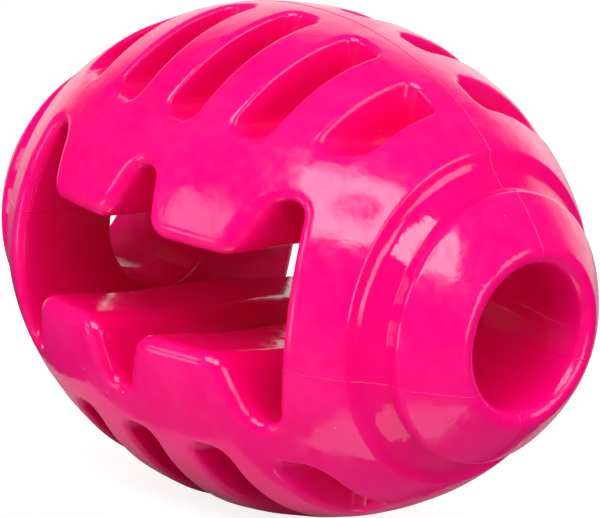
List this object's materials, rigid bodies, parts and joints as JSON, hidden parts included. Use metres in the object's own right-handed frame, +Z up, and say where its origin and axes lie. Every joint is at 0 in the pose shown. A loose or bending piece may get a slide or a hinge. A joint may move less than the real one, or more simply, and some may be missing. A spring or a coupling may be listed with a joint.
{
  "type": "rugby ball dog toy",
  "caption": "Rugby-ball-shaped rubber dog chew toy with a toothed window through the middle, a grooved boss with a round bore at each end, and rows of blind treat slots.",
  "frame": {"origin": "centre of the ball", "axes": "+X along the ball's long axis, +Y along the window's through direction, +Z up towards the upper row of slots"},
  "size_m": [0.11, 0.0818, 0.084],
  "materials": {
    "pink_rubber": "glossy moulded thermoplastic rubber, hot pink all through, slightly translucent"
  },
  "bodies": {
    "root": {"upper_front_quarter": "pink_rubber", "upper_rear_quarter": "pink_rubber", "lower_front_quarter": "pink_rubber", "lower_rear_quarter": "pink_rubber"}
  },
  "joints": []
}
